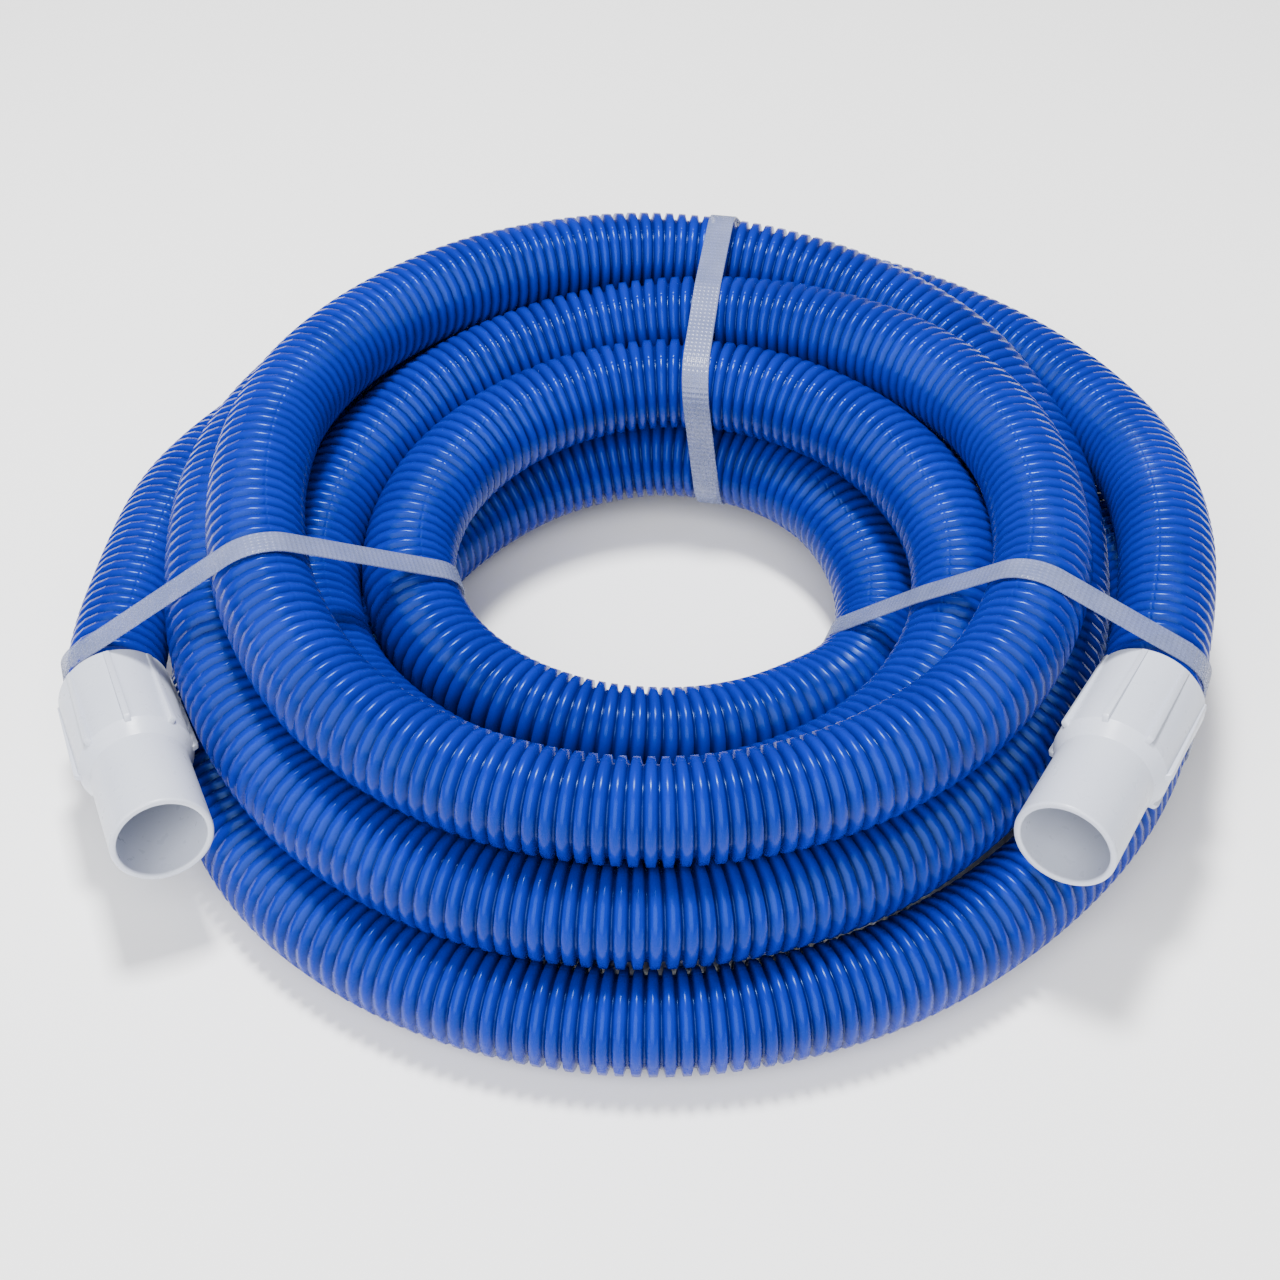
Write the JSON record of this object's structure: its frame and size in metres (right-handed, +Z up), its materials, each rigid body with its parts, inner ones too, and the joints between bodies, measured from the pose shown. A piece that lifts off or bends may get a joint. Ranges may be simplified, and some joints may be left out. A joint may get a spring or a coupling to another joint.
{
  "type": "pool vacuum hose",
  "caption": "Ribbed flexible suction hose for a pool vacuum, coiled and held by flat plastic straps, with a straight swivel cuff with a ribbed collar on each end.",
  "frame": {"origin": "middle of the coil seen from above, on the floor", "axes": "+Z up; the two cuffs are at the front and point towards -Y; +X to the right seen from the front"},
  "size_m": [0.5372, 0.5318, 0.1418],
  "materials": {
    "hose": "semi-gloss moulded ribs",
    "cuff": "smooth white moulding",
    "strap": "translucent embossed film"
  },
  "bodies": {
    "coil": {"hose_floor": "hose", "hose_inner": "hose", "hose_top": "hose", "hose_outer": "hose", "strap_left": "strap", "strap_back": "strap", "strap_right": "strap"},
    "left_cuff": {"left_cuff": "cuff"},
    "right_cuff": {"right_cuff": "cuff"}
  },
  "joints": [
    {"name": "left_cuff_swivel", "type": "hinge", "parent": "coil", "child": "left_cuff", "pos_m": [-0.22146, -0.12881, 0.05903], "axis": [0.3644, -0.9298, 0.0523], "continuous": true},
    {"name": "right_cuff_swivel", "type": "hinge", "parent": "coil", "child": "right_cuff", "pos_m": [0.2005, -0.15296, 0.08154], "axis": [-0.4848, -0.8746, 0], "continuous": true}
  ]
}
